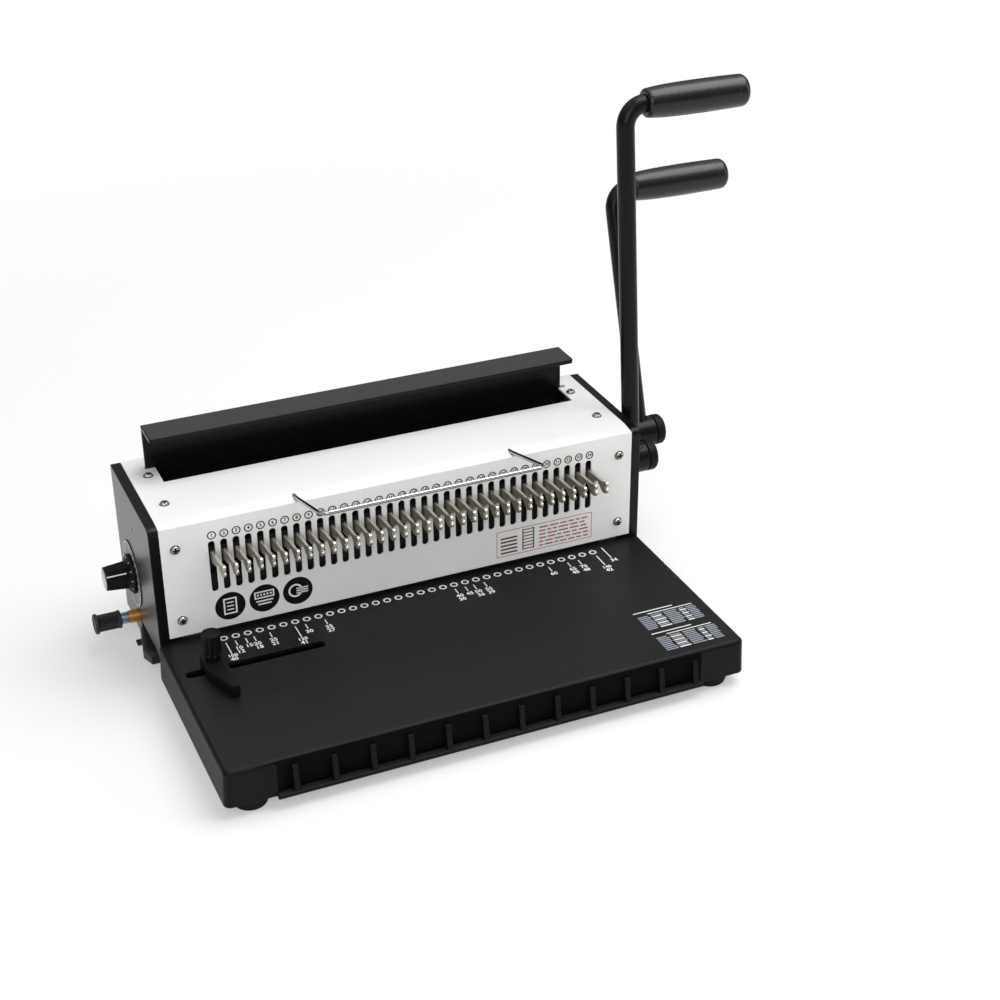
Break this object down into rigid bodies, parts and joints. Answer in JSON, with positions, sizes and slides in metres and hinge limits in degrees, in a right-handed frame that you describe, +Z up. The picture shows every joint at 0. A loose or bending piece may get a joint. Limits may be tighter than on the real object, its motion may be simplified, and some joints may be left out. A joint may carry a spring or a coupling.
{
  "type": "wire binding machine",
  "caption": "desk punch and wire closer with a ribbed black table, white slotted front, hooks for the wire loops, two bent side levers, a closing dial and a waste drawer",
  "frame": {"origin": "the middle of the bottom of the bounding box, on the desk under the feet", "axes": "+X runs along the row of holes to the lever side, +Y from the user to the back, +Z up"},
  "size_m": [0.523, 0.2866, 0.3581],
  "materials": {
    "black_coat": "fine black powder coat",
    "black_plastic": "satin black moulded plastic",
    "white_coat": "white powder coat",
    "rubber_black": "matte black rubber",
    "zinc_screw": "bright zinc plated",
    "black_steel": "blackened steel",
    "tool_steel": "ground tool steel",
    "hook_steel": "nickel plated pressed steel",
    "bright_rod": "chromium plated rod",
    "bronze": "sintered bronze",
    "brass": "turned brass",
    "spring_steel": "spring wire",
    "gear_steel": "machined steel gear",
    "grip_rubber": "black rubber grip",
    "silver_cap": "turned aluminium",
    "dial_black": "black scale disc with printed marks",
    "galvanised": "zinc coated sheet"
  },
  "bodies": {
    "frame": {"base_table": "black_plastic", "bottom_plate": "galvanised", "rubber_feet": "rubber_black", "foot_screws": "black_steel", "left_side_plate": "black_coat", "right_side_plate": "black_coat", "front_cover": "white_coat", "rear_cover": "white_coat", "cover_blocks": "galvanised", "cover_screws": "zinc_screw", "side_pins": "black_steel", "closer_anvil": "black_coat", "anvil_beam": "galvanised", "anvil_bolts": "black_steel", "die_plate": "tool_steel", "punch_guide": "tool_steel", "die_spacers": "galvanised", "shaft_bushes": "bronze", "wire_hooks": "hook_steel", "hook_bar": "black_steel", "wire_rod": "bright_rod", "rod_blocks": "galvanised", "dial_scale": "dial_black", "margin_collar": "brass", "margin_spring": "spring_steel", "drawer_rails": "galvanised", "punch_springs": "spring_steel", "closer_springs": "spring_steel"},
    "punch_bar_body": {"punch_bar": "black_steel", "punch_pins": "tool_steel", "punch_racks": "gear_steel"},
    "punch_lever": {"punch_shaft": "tool_steel", "punch_pinions": "gear_steel", "punch_hub": "black_coat", "punch_hub_cap": "black_plastic", "punch_lever_tube": "black_coat", "punch_grip": "grip_rubber"},
    "closer_lever": {"closer_shaft": "tool_steel", "closer_pinions": "gear_steel", "stop_finger": "gear_steel", "closer_sleeve": "black_coat", "closer_hub": "black_coat", "closer_hub_cap": "black_plastic", "closer_lever_tube": "black_coat", "closer_grip": "grip_rubber"},
    "press_bar_body": {"press_bar": "black_coat", "press_racks": "gear_steel"},
    "strength_dial": {"dial_knob": "black_plastic", "dial_cap": "silver_cap", "dial_shaft": "tool_steel", "stop_cam": "gear_steel"},
    "margin_control": {"margin_knob": "black_plastic", "margin_shaft": "tool_steel", "margin_discs": "gear_steel"},
    "depth_stop_body": {"depth_stop": "galvanised"},
    "paper_guide": {"guide_arm": "black_plastic", "guide_nut": "galvanised"},
    "guide_clamp": {"guide_knob": "black_plastic", "guide_screw": "tool_steel"},
    "drawer": {"waste_drawer": "black_plastic"}
  },
  "joints": [
    {"name": "punch_lever_swing", "type": "hinge", "parent": "frame", "child": "punch_lever", "pos_m": [0.141, 0.04118, 0.085], "axis": [1, 0, 0], "range_deg": [0, 72], "stiffness_Nm_per_rad": 1, "springref_deg": -11.46},
    {"name": "closer_lever_swing", "type": "hinge", "parent": "frame", "child": "closer_lever", "pos_m": [0.1665, 0.07668, 0.085], "axis": [1, 0, 0], "range_deg": [0, 80], "stiffness_Nm_per_rad": 0.6, "springref_deg": -11.46},
    {"name": "punch_bar_drop", "type": "slide", "parent": "frame", "child": "punch_bar_body", "axis": [0, 0, -1], "range_m": [0, 0.01235], "deforming": ["punch_springs"]},
    {"name": "press_bar_rise", "type": "slide", "parent": "frame", "child": "press_bar_body", "axis": [0, 0, 1], "range_m": [0, 0.02419], "deforming": ["closer_springs"]},
    {"name": "strength_dial_turn", "type": "hinge", "parent": "frame", "child": "strength_dial", "pos_m": [-0.2383, 0.08068, 0.0555], "axis": [-1, 0, 0], "range_deg": [0, 180]},
    {"name": "margin_knob_turn", "type": "hinge", "parent": "frame", "child": "margin_control", "pos_m": [-0.2483, 0.07718, 0.0231], "axis": [-1, 0, 0], "range_deg": [0, 180]},
    {"name": "depth_stop_shift", "type": "slide", "parent": "frame", "child": "depth_stop_body", "axis": [0, 1, 0], "range_m": [0, 0.0045]},
    {"name": "paper_guide_slide", "type": "slide", "parent": "frame", "child": "paper_guide", "axis": [1, 0, 0], "range_m": [-0.011, 0.069]},
    {"name": "guide_clamp_turn", "type": "hinge", "parent": "paper_guide", "child": "guide_clamp", "pos_m": [-0.2041, -0.02992, 0.05], "axis": [0, 0, 1], "range_deg": [0, 360]},
    {"name": "waste_drawer_pull", "type": "slide", "parent": "frame", "child": "drawer", "axis": [-1, 0, 0], "range_m": [0, 0.25]}
  ],
  "couplings": [
    {"joint": "punch_bar_drop", "follows": "punch_lever_swing", "m_per_rad": 0.00975},
    {"joint": "press_bar_rise", "follows": "closer_lever_swing", "m_per_rad": 0.01725},
    {"joint": "depth_stop_shift", "follows": "margin_knob_turn", "m_per_rad": 0.0012732}
  ]
}
